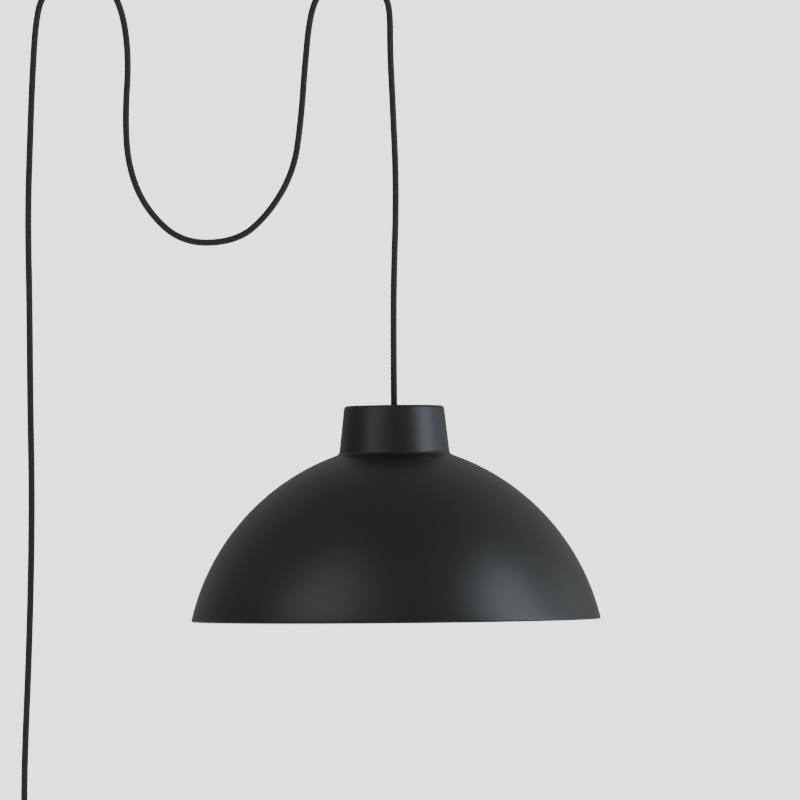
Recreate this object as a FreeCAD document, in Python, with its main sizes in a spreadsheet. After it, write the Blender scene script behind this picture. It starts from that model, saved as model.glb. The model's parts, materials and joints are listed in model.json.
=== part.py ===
"""Plug-in swag pendant lamp: a spun dome shade on a textile cord that runs over two ceiling hooks.

Frame: +X right, +Y away from the viewer, +Z up, millimetres.  The origin is the centre of the main
hook's plate on the ceiling.  The head hangs under it, the spare cord hangs tied at the left.
"""
import FreeCAD, Part
import math
import os
import re
import Sketcher

Vector = FreeCAD.Vector
Placement = FreeCAD.Placement
Rotation = FreeCAD.Rotation

DOC = FreeCAD.newDocument("SwagPendant")

# ---------------------------------------------------------------- driving dimensions
SIZES = {
    # cord, and where the head hangs from it
    "cord_radius": 3.25,
    "core_radius": 1.1,
    "entry_x": 41.0,
    "entry_z": -469.0,
    "hang_tilt": 0.53,
    "swing_x": 37.1,
    "swing_z": -98.0,
    "swing_gap": 1.0,
    # spun shade; levels are heights in the head's own frame, whose zero is the shade's top
    "shade_wall": 1.0,
    "shade_height": 209.5,
    "rim_radius": 200.0,
    "dome_radius": 223.3,
    "neck_height": 47.2,
    "neck_top_radius": 48.8,
    "neck_base_radius": 54.1,
    "top_edge_fillet": 3.5,
    "neck_root_fillet": 5.0,
    "neck_seam": -55.0,
    "hem_radius": 1.6,
    "bush_hole_radius": 5.2,
    "bush_flange_radius": 6.4,
    "bush_lip": 0.6,
    "bush_foot": 1.4,
    # hanger cup, nipple, nut and cord grip in the neck
    "cup_radius": 32.0,
    "cup_wall": 1.5,
    "cup_floor": -19.2,
    "nipple_radius": 5.0,
    "nipple_bore": 3.5,
    "nipple_top": -10.0,
    "nipple_end": -28.0,
    "nut_flats": 14.0,
    "nut_height": 4.0,
    "grip_radius": 8.0,
    "grip_top": -4.0,
    "grip_end": -13.2,
    "grip_bore": 3.3,
    "grub_radius": 2.0,
    "grub_level": -7.0,
    "grub_socket": 1.0,
    # lamp holder
    "boss_radius": 9.0,
    "boss_end": -22.0,
    "boss_ledge": 1.0,
    "cap_radius": 21.5,
    "cap_shoulder": -34.0,
    "cap_end": -46.0,
    "cap_wall": 2.2,
    "body_top": -38.0,
    "body_shoulder": -46.3,
    "body_radius": 20.8,
    "body_end": -84.0,
    "body_seat_radius": 17.6,
    "body_bore": 15.8,
    "insert_radius": 17.5,
    "insert_top": -44.0,
    "insert_end": -56.0,
    "post_radius": 1.5,
    "shell_radius": 14.2,
    "shell_bore": 13.7,
    "shell_lip": 12.3,
    "shell_end": -81.0,
    "sheet_brass": 0.6,
    "leaf_width": 6.0,
    "leaf_back": -9.0,
    "leaf_bend": -3.5,
    "leaf_crown": 3.0,
    "leaf_tip": 6.0,
    "leaf_crown_level": -59.9,
    "leaf_tip_level": -59.2,
    "terminal_size": 7.0,
    "terminal_height": 6.0,
    "live_x": -9.0,
    "neutral_x": 12.0,
    "wire_level": -41.0,
    "wire_turn": 4.5,
    "wire_step": 2.4,
    "screw_head_radius": 2.5,
    "screw_head_height": 2.0,
    "screw_reach": 2.2,
    "core_start": -30.0,
    "core_offset": 1.3,
    # bulb
    "pip_top": -61.0,
    "pip_radius": 4.5,
    "pip_end": -63.0,
    "pip_skirt": 0.6,
    "collar_radius": 11.0,
    "collar_level": -66.4,
    "collar_end": -68.2,
    "collar_step": 1.0,
    "screw_cap_radius": 13.1,
    "screw_cap_wall": 0.4,
    "screw_cap_end": -88.0,
    "housing_top": -72.0,
    "housing_bore": 10.5,
    "housing_wall": 2.0,
    "housing_curve": 60.0,
    "globe_radius": 30.0,
    "globe_wall": 1.2,
    "globe_level": -138.0,
    "globe_seam": -126.0,
    "globe_seam_radius": 27.5,
    "board_radius": 23.5,
    "board_height": 1.6,
    "chip_size": 3.0,
    "chip_height": 0.8,
    "chip_circle": 16.0,
    "driver_width": 14.0,
    "driver_depth": 8.0,
    "driver_top": -76.0,
    "driver_length": 34.0,
    # ceiling hooks
    "hook_spacing": 268.5,
    "plate_radius": 22.0,
    "plate_height": 3.0,
    "fixing_circle": 14.0,
    "fixing_hole": 2.2,
    "fixing_head": 4.0,
    "fixing_gap": 0.1,
    "fixing_cone": 2.2,
    "fixing_neck": 1.8,
    "fixing_thread": 2.0,
    "fixing_reach": 13.0,
    "fixing_tip": 0.3,
    "rod_radius": 2.5,
    "rod_stem": -16.0,
    "rod_crank": -28.0,
    "rod_low": -54.0,
    "rod_lip": -34.0,
    "rod_flare": 7.0,
    "rod_flare_out": 5.0,
    "rod_bend": 10.0,
    "rod_jog": 6.0,
    # in-line switch, its levels counted from its own middle
    "switch_x": -319.5,
    "switch_z": -894.0,
    "switch_half_length": 28.0,
    "switch_half_width": 12.0,
    "switch_half_depth": 7.5,
    "switch_corner": 7.0,
    "switch_edge": 1.5,
    "chamber_half_length": 14.0,
    "chamber_half_width": 9.6,
    "chamber_front": 4.3,
    "chamber_back": 5.7,
    "chamber_corner": 2.0,
    "sheath_end": 16.0,
    "channel_radius": 3.3,
    "switch_screw_x": 8.0,
    "switch_screw_z": 20.0,
    "switch_screw_radius": 1.25,
    "switch_screw_head": 2.4,
    "switch_screw_recess": 2.0,
    "switch_screw_cap": 1.6,
    "switch_screw_length": 11.0,
    "window_half_length": 9.6,
    "window_half_width": 5.3,
    "rocker_half_length": 9.0,
    "rocker_half_width": 5.0,
    "rocker_crest": 3.2,
    "rocker_dip": 1.8,
    "rocker_foot": 3.0,
    "rocker_shoulder": 0.5,
    "rocker_throw": 8.0,
    "axle_level": 5.0,
    "axle_radius": 1.2,
    "axle_half_length": 7.5,
    "axle_clearance": 0.05,
    "bridge_half_length": 6.0,
    "bridge_half_width": 2.0,
    "bridge_height": 0.5,
    "strip": 0.5,
    "middle_contact": -1.2,
    "middle_half": 1.5,
    "end_contact_low": -7.5,
    "end_contact_high": -4.5,
    "core_spread": 1.6,
    "core_fan": 4.0,
    "core_fan_back": 1.0,
    "core_bypass": 3.0,
    "core_bypass_end": 7.0,
    "core_wall_gap": 2.4,
    "core_middle_back": 2.2,
    "core_end_back": 3.2,
    # coil of spare cord and its tie
    "coil_radius": 36.0,
    "coil_half_height": 13.0,
    "coil_half_depth": 10.0,
    "coil_corner": 6.0,
    "coil_lead_drop": 52.0,
    "tie_clearance": 0.9,
    "tie_wall": 1.2,
    "tie_width": 12.0,
    "tie_angle": 62.0,
    # flat two-pin plug, its levels counted from the top of its strain relief
    "plug_x": 26.0,
    "plug_y": -17.5,
    "plug_rise": 8.0,
    "relief_top_radius": 4.4,
    "relief_root_radius": 6.0,
    "relief_length": 20.0,
    "relief_bore_depth": 14.0,
    "plug_half_width": 17.6,
    "plug_shoulder_x": 14.5,
    "plug_top_x": 7.0,
    "plug_shoulder": -26.5,
    "plug_flank": -33.0,
    "plug_face": -46.0,
    "plug_depth": 13.7,
    "plug_edge": 2.0,
    "pin_radius": 2.0,
    "pin_spacing": 18.6,
    "pin_root": -32.0,
    "pin_length": 19.0,
    "pin_root_radius": 2.3,
}


def make_sheet():
    sheet = DOC.addObject("Spreadsheet::Sheet", "Sizes")
    for row, (name, number) in enumerate(SIZES.items(), start=1):
        sheet.set(f"A{row}", name)
        sheet.set(f"B{row}", str(number))
        sheet.setAlias(f"B{row}", name)
    DOC.recompute()
    return sheet


SHEET = make_sheet()


def bound(text):
    """The expression with every size's name pointing at its cell of the sheet."""
    return re.sub(r"[a-z]\w*", lambda found: "Sizes." + found[0] if found[0] in SIZES else found[0], text)


def size(text):
    """The present value of an expression in the sheet's sizes."""
    return float(SHEET.evalExpression(bound(text)))


# ---------------------------------------------------------------- places
HEAD = Placement(Vector(size("entry_x"), 0, size("entry_z")), Rotation(Vector(0, 1, 0), -size("hang_tilt")))
MAIN_HOOK = Placement()
SIDE_HOOK = Placement(Vector(-size("hook_spacing"), 0, 0), Rotation())
SWITCH = Placement(Vector(size("switch_x"), 0, size("switch_z")), Rotation())
COIL = Placement(
    Vector(size("switch_x"), 0, size("switch_z - coil_lead_drop")
           - math.sqrt(2) * size("coil_radius + coil_half_height - cord_radius")), Rotation())
PLUG = COIL.multiply(Placement(Vector(size("plug_x"), size("plug_y"), size("plug_rise")), Rotation()))
ROCKER = SWITCH.multiply(Placement(Vector(0, -size("axle_level"), 0), Rotation(Vector(1, 0, 0), -size("rocker_throw"))))

# The cord's route from the shade's top up to the swing point, then over the main hook, down and up
# through its slack loop, over the side hook and down to the switch.
DROP_ROUTE = [
    (40.6, 0, -424), (40.5, 0, -350), (43.4, 0, -259), (39.4, 0, -168), (37.1, 0, -122),
]
SWAG_ROUTE = [
    (37.1, 0, -86), (33.6, 0, -69), (15.3, 0, -48.7), (-11.9, 0, -46.8), (-32.8, 0, -64.3),
    (-41.6, -0.5, -89), (-46.2, -2, -137), (-49.9, -4, -190), (-56.8, -6, -240), (-81.2, -7, -282),
    (-112.2, -8, -309), (-165.6, -8, -311), (-201.8, -6, -277), (-218.8, -4, -235), (-221.7, -3, -186),
    (-218.3, -2, -131), (-223.4, -1, -88), (-234.4, 0, -62.2), (-256.9, 0, -46.6), (-284.1, 0, -48.9),
    (-303.4, 0, -68), (-309.4, 1, -93), (-312.6, 3, -142), (-315.1, 5, -208), (-317.2, 5, -283),
    (-315.1, 2, -375), (-314.1, -2, -463), (-312.2, -4, -551), (-313, -3, -639), (-315.6, -1, -727),
    (-318.6, 0, -799), (-319.5, 0, -842),
]
# The plug's lead, from inside the coil's top to above the plug, counted from the coil's middle.
LEAD_OUT_ROUTE = [(-16, -6, 41), (2, -10, 42.5), (17.5, -14, 33.5), (26, -17.5, 18)]

RUN_SHARE = 0.45
PARTS = []


# ---------------------------------------------------------------- ways of making a piece
def kept(piece, label, place):
    piece.Label = label
    piece.Placement = place.multiply(piece.Placement)
    PARTS.append(piece)
    return piece


def new_body(label, place):
    return kept(DOC.addObject("PartDesign::Body", label), label, place)


def new_sketch(body, role, lift="0"):
    """An empty sketch on one of the body's own origin planes, lifted along the plane's normal."""
    plane = next(item for item in body.Origin.OriginFeatures if item.Role == role)
    sketch = body.newObject("Sketcher::SketchObject", body.Label + "_sketch")
    sketch.AttachmentSupport = (plane, "")
    sketch.MapMode = "FlatFace"
    sketch.AttachmentOffset = Placement(Vector(0, 0, size(lift)), Rotation())
    return sketch


def bind(sketch, constraint, name, expression):
    index = sketch.addConstraint(constraint)
    sketch.renameConstraint(index, name)
    sketch.setExpression("Constraints." + name, bound(expression))


def draw_outline(sketch, outline):
    """A closed outline of (x, y) corners; a third entry makes the edge that leaves the corner an arc.

    The arc's radius is positive where it turns left on its way, negative where it turns right.
    """
    corners = [Vector(size(corner[0]), size(corner[1]), 0) for corner in outline]
    ends = []
    for index, corner in enumerate(outline):
        start = corners[index]
        finish = corners[(index + 1) % len(corners)]
        if len(corner) == 2:
            sketch.addGeometry(Part.LineSegment(start, finish), False)
            ends.append((1, 2))
            continue
        radius = size(corner[2])
        half = (finish - start) * 0.5
        side = Vector(-half.y, half.x, 0).normalize() * math.copysign(1, radius)
        centre = start + half + side * math.sqrt(radius ** 2 - half.Length ** 2)
        first, last = (start, finish) if radius > 0 else (finish, start)
        angles = [math.atan2(point.y - centre.y, point.x - centre.x) for point in (first, last)]
        circle = Part.Circle(centre, Vector(0, 0, 1), abs(radius))
        sketch.addGeometry(Part.ArcOfCircle(circle, *angles), False)
        ends.append((1, 2) if radius > 0 else (2, 1))
    for index, (_, tail) in enumerate(ends):
        following = (index + 1) % len(ends)
        sketch.addConstraint(Sketcher.Constraint("Coincident", index, tail, following, ends[following][0]))
    for index, corner in enumerate(outline):
        head = ends[index][0]
        across = Sketcher.Constraint("DistanceX", -1, 1, index, head, corners[index].x)
        upward = Sketcher.Constraint("DistanceY", -1, 1, index, head, corners[index].y)
        bind(sketch, across, f"across{index}", corner[0])
        bind(sketch, upward, f"upward{index}", corner[1])
        if len(corner) == 3:
            bend = Sketcher.Constraint("Radius", index, abs(size(corner[2])))
            bind(sketch, bend, f"bend{index}", corner[2].lstrip("-"))


def draw_circles(sketch, circles):
    for index, (across, upward, radius) in enumerate(circles):
        centre = Vector(size(across), size(upward), 0)
        sketch.addGeometry(Part.Circle(centre, Vector(0, 0, 1), size(radius)), False)
        bind(sketch, Sketcher.Constraint("DistanceX", -1, 1, index, 3, centre.x), f"across{index}", across)
        bind(sketch, Sketcher.Constraint("DistanceY", -1, 1, index, 3, centre.y), f"upward{index}", upward)
        bind(sketch, Sketcher.Constraint("Radius", index, size(radius)), f"radius{index}", radius)


def revolve(body, kind, draw, outline):
    sketch = new_sketch(body, "XZ_Plane")
    draw(sketch, outline)
    feature = body.newObject("PartDesign::" + kind, body.Label + "_turn")
    feature.Profile = sketch
    feature.ReferenceAxis = (sketch, ["V_Axis"])
    feature.Angle = 360
    DOC.recompute()
    return feature


def turned(label, outline, place=HEAD):
    """A body of revolution about its own vertical axis, from an outline of (radius, level) corners."""
    body = new_body(label, place)
    revolve(body, "Revolution", draw_outline, outline)
    return body


def pad(body, role, draw, outline, length, lift="0", middle=False, backward=False):
    sketch = new_sketch(body, role, lift)
    draw(sketch, outline)
    feature = body.newObject("PartDesign::Pad", body.Label + "_pad")
    feature.Profile = sketch
    feature.setExpression("Length", bound(length))
    feature.Midplane = middle
    feature.Reversed = backward
    DOC.recompute()
    return feature


def pocket(body, role, draw, outline, length, lift="0", middle=False, backward=False):
    before = body.Shape.Volume
    sketch = new_sketch(body, role, lift)
    draw(sketch, outline)
    feature = body.newObject("PartDesign::Pocket", body.Label + "_pocket")
    feature.Profile = sketch
    feature.setExpression("Length", bound(length))
    feature.Midplane = middle
    feature.Reversed = backward
    DOC.recompute()
    if body.Shape.Volume >= before:
        raise SystemExit(f"{body.Label}: a pocket cuts nothing")
    return feature


def fillet(body, wanted, radius):
    """Round the edges of the body's last feature that wanted(edge) picks."""
    base = body.Tip
    names = [f"Edge{n}" for n, edge in enumerate(base.Shape.Edges, start=1) if wanted(edge)]
    feature = body.newObject("PartDesign::Fillet", body.Label + "_fillet")
    feature.Base = (base, names)
    feature.setExpression("Radius", bound(radius))
    DOC.recompute()
    return feature


def circle_at(radius, level):
    """Picks the level circles of this radius and height."""
    def wanted(edge):
        curve = edge.Curve
        return (isinstance(curve, Part.Circle) and abs(curve.Radius - size(radius)) < 0.01
                and abs(curve.Center.z - size(level)) < 0.01)
    return wanted


def rectangle(half_x, half_y, corner):
    """A rectangle about the sketch's zero with rounded corners."""
    x, y, r = half_x, half_y, corner
    return [
        (f"{x} - {r}", f"-({y})", r), (x, f"-({y}) + {r}"),
        (x, f"{y} - {r}", r), (f"{x} - {r}", y),
        (f"-({x}) + {r}", y, r), (f"-({x})", f"{y} - {r}"),
        (f"-({x})", f"-({y}) + {r}", r), (f"-({x}) + {r}", f"-({y})"),
    ]


def box(x_low, x_high, y_low, y_high, z_low, z_high):
    """A Part box between bounds that are expressions in its own frame."""
    piece = DOC.addObject("Part::Box", "box")
    for edge, low, high in (("Length", x_low, x_high), ("Width", y_low, y_high), ("Height", z_low, z_high)):
        piece.setExpression(edge, bound(f"{high} - ({low})"))
    piece.Placement = Placement(Vector(size(x_low), size(y_low), size(z_low)), Rotation())
    return piece


def cylinder(radius, length, base, towards=(0, 0, 1)):
    piece = DOC.addObject("Part::Cylinder", "cylinder")
    piece.setExpression("Radius", bound(radius))
    piece.setExpression("Height", bound(length))
    piece.Placement = Placement(Vector(*[size(text) for text in base]), Rotation(Vector(0, 0, 1), Vector(*towards)))
    return piece


def cone(low_radius, high_radius, length, base, towards=(0, 0, 1)):
    piece = DOC.addObject("Part::Cone", "cone")
    piece.setExpression("Radius1", bound(low_radius))
    piece.setExpression("Radius2", bound(high_radius))
    piece.setExpression("Height", bound(length))
    piece.Placement = Placement(Vector(*[size(text) for text in base]), Rotation(Vector(0, 0, 1), Vector(*towards)))
    return piece


def fused(pieces):
    whole = DOC.addObject("Part::MultiFuse", "fuse")
    whole.Shapes = pieces
    return whole


def group(pieces):
    """Separate solids kept side by side."""
    whole = DOC.addObject("Part::Compound", "group")
    whole.Links = pieces
    return whole


def less(solid, tools):
    whole = DOC.addObject("Part::Cut", "cut")
    whole.Base = solid
    whole.Tool = fused(tools) if len(tools) > 1 else tools[0]
    return whole


def bent_path(points, bends=None):
    """Straight runs joined by tangent arcs; without given bends each arc is as large as its runs allow."""
    points = [Vector(*point) for point in points]
    edges = []
    radii = []
    last = points[0]
    for index in range(1, len(points) - 1):
        corner = points[index]
        inward = points[index - 1] - corner
        onward = points[index + 1] - corner
        half_turn = (math.pi - inward.getAngle(onward)) / 2
        if bends:
            radius = bends[index - 1]
        else:
            radius = RUN_SHARE * min(inward.Length, onward.Length) / math.tan(half_turn)
        tangent = radius * math.tan(half_turn)
        start = corner + inward.normalize() * tangent
        finish = corner + onward.normalize() * tangent
        bisector = (inward + onward).normalize()
        middle = corner + bisector * (radius / math.cos(half_turn) - radius)
        if (start - last).Length > 1e-6:
            edges.append(Part.LineSegment(last, start).toShape())
        edges.append(Part.Arc(start, middle, finish).toShape())
        radii.append(radius)
        last = finish
    edges.append(Part.LineSegment(last, points[-1]).toShape())
    return Part.Wire(edges), radii


def swept_rod(label, points, radius, place=Placement(), bends=None, round_tip=False):
    """A round rod or tube along a bent path."""
    path, radii = bent_path(points, bends)
    direction = Vector(*points[1]) - Vector(*points[0])
    section = Part.Wire([Part.Circle(Vector(*points[0]), direction, radius).toShape()])
    shape = path.makePipeShell([section], True, False)
    expected = math.pi * radius ** 2 * path.Length
    if abs(shape.Volume / expected - 1) > 0.01:
        raise SystemExit(f"{label}: volume {shape.Volume:.0f}, section times length {expected:.0f}")
    if round_tip:
        shape = shape.fuse(Part.makeSphere(radius, Vector(*points[-1]))).removeSplitter()
    print(f"{label}: length {path.Length:.1f}, smallest radius {min(radii):.1f}, radii",
          " ".join(f"{bend:.0f}" for bend in radii))
    piece = DOC.addObject("Part::Feature", label)
    piece.Shape = shape
    return kept(piece, label, place)


# ---------------------------------------------------------------- head: shade and what carries it
def make_shade():
    """The spun shade, kept as its neck and its dome, which meet at a seam just below the neck's root."""
    body = DOC.addObject("PartDesign::Body", "spinning")
    body.Label = "spinning"
    revolve(body, "Revolution", draw_outline, [
        ("0", "0"), ("0", "-shade_height"), ("rim_radius", "-shade_height", "dome_radius"),
        ("neck_base_radius", "-neck_height"), ("neck_top_radius", "0"),
    ])
    fillet(body, circle_at("neck_top_radius", "0"), "top_edge_fillet")
    fillet(body, circle_at("neck_base_radius", "-neck_height"), "neck_root_fillet")
    base = body.Tip
    open_face = next(
        f"Face{n}" for n, face in enumerate(base.Shape.Faces, start=1)
        if abs(face.BoundBox.ZMax + size("shade_height")) < 0.01)
    hollow = body.newObject("PartDesign::Thickness", "shade_hollow")
    hollow.Base = (base, [open_face])
    hollow.setExpression("Value", bound("shade_wall"))
    hollow.Reversed = True
    DOC.recompute()
    revolve(body, "Revolution", draw_circles, [("rim_radius - hem_radius", "-shade_height + hem_radius", "hem_radius")])
    pocket(body, "XY_Plane", draw_circles, [("0", "0", "bush_hole_radius")], "2 * bush_hole_radius", middle=True)
    for name, low, high in (("shade_neck", "neck_seam", "rim_radius"), ("shade_dome", "-2 * shade_height", "neck_seam")):
        half = DOC.addObject("Part::Common", name)
        half.Base = body
        half.Tool = cylinder("2 * rim_radius", f"{high} - ({low})", ("0", "0", low))
        kept(half, name, HEAD)


def make_cord_bush():
    turned("cord_bush", [
        ("cord_radius", "bush_lip"), ("cord_radius", "-shade_wall - bush_foot"),
        ("bush_flange_radius", "-shade_wall - bush_foot"), ("bush_flange_radius", "-shade_wall"),
        ("bush_hole_radius", "-shade_wall"), ("bush_hole_radius", "0"), ("bush_flange_radius", "0"),
        ("bush_flange_radius - bush_lip", "bush_lip"),
    ])


def make_hanger():
    """The cup that the shade's top rests on, with the hollow nipple, its nut and the cord grip."""
    turned("hanger_cup", [
        ("nipple_radius", "cup_floor"), ("cup_radius", "cup_floor"), ("cup_radius", "-shade_wall"),
        ("cup_radius - cup_wall", "-shade_wall"), ("cup_radius - cup_wall", "cup_floor + cup_wall"),
        ("nipple_radius", "cup_floor + cup_wall"),
    ])
    turned("hollow_nipple", [
        ("nipple_bore", "nipple_end"), ("nipple_radius", "nipple_end"),
        ("nipple_radius", "nipple_top"), ("nipple_bore", "nipple_top"),
    ])
    nut = new_body("nipple_locknut", HEAD)
    hexagon = [
        (f"nut_flats / 2 / cos(30) * cos({angle})", f"nut_flats / 2 / cos(30) * sin({angle})")
        for angle in range(0, 360, 60)
    ]
    pad(nut, "XY_Plane", draw_outline, hexagon, "nut_height", lift="cup_floor + cup_wall")
    pocket(nut, "XY_Plane", draw_circles, [("0", "0", "nipple_radius")], "2 * nut_height",
           lift="cup_floor + cup_wall + 2 * nut_height")
    grip = less(cylinder("grip_radius", "grip_top - grip_end", ("0", "0", "grip_end")), [
        cylinder("grip_bore", "grip_top - grip_end", ("0", "0", "grip_end")),
        cylinder("nipple_radius", "nipple_top - grip_end", ("0", "0", "grip_end")),
        cylinder("grub_radius", "grip_radius", ("0", "0", "grub_level"), (1, 0, 0)),
    ])
    kept(grip, "cord_grip", HEAD)
    grub = less(
        cylinder("grub_radius", "grip_radius - cord_radius", ("cord_radius", "0", "grub_level"), (1, 0, 0)),
        [cylinder("grub_socket", "grub_radius", ("grip_radius - grub_radius", "0", "grub_level"), (1, 0, 0))])
    kept(grub, "grip_screw", HEAD)


# ---------------------------------------------------------------- head: lamp holder
def make_holder():
    turned("holder_cap", [
        ("nipple_radius", "cup_floor"), ("nipple_radius", "nipple_end + boss_ledge"),
        ("boss_radius - cap_wall", "nipple_end + boss_ledge"),
        ("cap_radius - cap_wall", "cap_shoulder - cap_wall"), ("cap_radius - cap_wall", "cap_end"),
        ("cap_radius", "cap_end"), ("cap_radius", "cap_shoulder"), ("boss_radius", "boss_end"),
        ("boss_radius", "cup_floor"),
    ])
    turned("holder_body", [
        ("body_seat_radius", "body_top"), ("body_seat_radius", "insert_end"), ("body_bore", "insert_end"),
        ("body_bore", "body_end"), ("body_radius", "body_end"), ("body_radius", "body_shoulder"),
        ("cap_radius - cap_wall", "body_shoulder"), ("cap_radius - cap_wall", "body_top"),
    ])
    insert = new_body("holder_insert", HEAD)
    pad(insert, "XY_Plane", draw_circles, [
        ("0", "0", "insert_radius"), ("live_x", "0", "post_radius"), ("neutral_x", "0", "post_radius"),
    ], "insert_top - insert_end", lift="insert_end")
    turned("thread_shell", [
        ("shell_lip", "insert_end"), ("shell_lip", "insert_end - sheet_brass"),
        ("shell_bore", "insert_end - sheet_brass"), ("shell_bore", "shell_end"),
        ("shell_radius", "shell_end"), ("shell_radius", "insert_end"),
    ])
    leaf = new_body("centre_contact", HEAD)
    pad(leaf, "XZ_Plane", draw_outline, [
        ("leaf_back - post_radius", "insert_end"), ("leaf_back - post_radius", "insert_end - sheet_brass"),
        ("leaf_bend", "insert_end - sheet_brass"), ("leaf_crown", "leaf_crown_level - sheet_brass"),
        ("leaf_tip", "leaf_tip_level - sheet_brass"), ("leaf_tip", "leaf_tip_level"),
        ("leaf_crown", "leaf_crown_level"), ("leaf_bend", "insert_end"),
    ], "leaf_width", middle=True)


def make_terminals():
    """Two brass blocks on the insert, each with a post through it, a screw and its insulated core."""
    screws = []
    for name, place_x, inner in (("live", "live_x", "1"), ("neutral", "neutral_x", "-1")):
        half = "terminal_size / 2"
        block = box(f"{place_x} - {half}", f"{place_x} + {half}", f"-{half}", half,
                    "insert_top", "insert_top + terminal_height")
        post = cylinder("post_radius", "insert_top - insert_end", (place_x, "0", "insert_end"))
        block_top = "insert_top + terminal_height"
        screw_hole = cylinder("post_radius", "screw_reach", (place_x, "0", f"{block_top} - screw_reach"))
        kept(less(fused([block, post]), [screw_hole]), name + "_terminal", HEAD)
        screws.append(fused([
            cylinder("post_radius", "screw_reach", (place_x, "0", f"{block_top} - screw_reach")),
            cylinder("screw_head_radius", "screw_head_height", (place_x, "0", block_top)),
        ]))
        side = -size(inner)
        start = side * size("core_offset")
        face = size(f"{place_x} + {inner} * {half}")
        level = size("wire_level")
        swept_rod(name + "_core", [
            (start, 0, size("core_start")), (start, 0, level + size("wire_turn")),
            (start + side * size("wire_step"), 0, level), (face, 0, level),
        ], size("core_radius"), HEAD)
    kept(group(screws), "terminal_screws", HEAD)


def make_cord_end():
    """The sheathed end of the cord, through the bush, the grip and the nipple into the holder."""
    piece = cylinder("cord_radius", "bush_lip - core_start", ("0", "0", "core_start"))
    kept(piece, "cord_inner_end", HEAD)


# ---------------------------------------------------------------- bulb
def make_bulb():
    turned("bulb_contact", [
        ("0", "pip_end"), ("pip_radius", "pip_end"), ("pip_radius", "pip_end + pip_skirt"), ("0", "pip_top"),
    ])
    turned("bulb_insulator", [
        ("0", "pip_end"), ("0", "collar_end"), ("collar_radius", "collar_end"), ("collar_radius", "collar_level"),
        ("pip_radius + collar_step", "pip_end"),
    ])
    turned("bulb_screw_cap", [
        ("collar_radius", "collar_level"), ("collar_radius", "collar_end"),
        ("screw_cap_radius - screw_cap_wall", "collar_end"), ("screw_cap_radius - screw_cap_wall", "screw_cap_end"),
        ("screw_cap_radius", "screw_cap_end"), ("screw_cap_radius", "collar_end + collar_step"),
    ])
    turned("bulb_housing", [
        ("housing_bore", "housing_top"), ("housing_bore", "screw_cap_end", "-housing_curve"),
        ("globe_seam_radius - housing_wall", "globe_seam"), ("globe_seam_radius", "globe_seam", "housing_curve"),
        ("screw_cap_radius", "screw_cap_end"), ("screw_cap_radius - screw_cap_wall", "screw_cap_end"),
        ("screw_cap_radius - screw_cap_wall", "housing_top"),
    ])
    turned("bulb_globe", [
        ("0", "globe_level - globe_radius", "globe_radius"), ("globe_seam_radius", "globe_seam"),
        ("globe_seam_radius - globe_wall", "globe_seam", "-(globe_radius - globe_wall)"),
        ("0", "globe_level - globe_radius + globe_wall"),
    ])
    board = cylinder("board_radius", "board_height", ("0", "0", "globe_seam + board_height"))
    chips = [
        box(f"chip_circle * cos({angle}) - chip_size / 2", f"chip_circle * cos({angle}) + chip_size / 2",
            f"chip_circle * sin({angle}) - chip_size / 2", f"chip_circle * sin({angle}) + chip_size / 2",
            "globe_seam + board_height - chip_height", "globe_seam + board_height")
        for angle in range(0, 360, 45)
    ]
    kept(fused([board] + chips), "led_board", HEAD)
    kept(box("-driver_width / 2", "driver_width / 2", "-driver_depth / 2", "driver_depth / 2",
             "driver_top - driver_length", "driver_top"), "led_driver", HEAD)


# ---------------------------------------------------------------- ceiling hooks
def make_hook(name, place):
    plate = cylinder("plate_radius", "plate_height", ("0", "0", "-plate_height"))
    holes = [cylinder("rod_radius", "plate_height", ("0", "0", "-plate_height"))]
    screws = []
    for across in ("fixing_circle", "-fixing_circle"):
        holes.append(cylinder("fixing_hole", "plate_height", (across, "0", "-plate_height")))
        holes.append(cone("fixing_head", "fixing_hole", "fixing_cone", (across, "0", "-plate_height")))
        screws.append(fused([
            cone("fixing_head - fixing_gap", "fixing_neck", "fixing_cone", (across, "0", "-plate_height")),
            cylinder("fixing_neck", "plate_height - fixing_cone", (across, "0", "fixing_cone - plate_height")),
            cylinder("fixing_thread", "fixing_reach - fixing_thread", (across, "0", "0")),
            cone("fixing_thread", "fixing_tip", "fixing_thread", (across, "0", "fixing_reach - fixing_thread")),
        ]))
    kept(less(plate, holes), name + "_plate", place)
    kept(group(screws), name + "_screws", place)
    bend = size("rod_bend")
    jog = size("rod_jog")
    low = size("rod_low")
    lip = size("rod_lip")
    swept_rod(name + "_rod", [
        (0, 0, 0), (0, 0, size("rod_stem")), (0, bend, size("rod_crank")), (0, bend, low), (0, -bend, low),
        (0, -bend, lip), (0, -bend - size("rod_flare_out"), lip + size("rod_flare")),
    ], size("rod_radius"), place, bends=[jog, jog, bend, bend, jog], round_tip=True)


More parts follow.
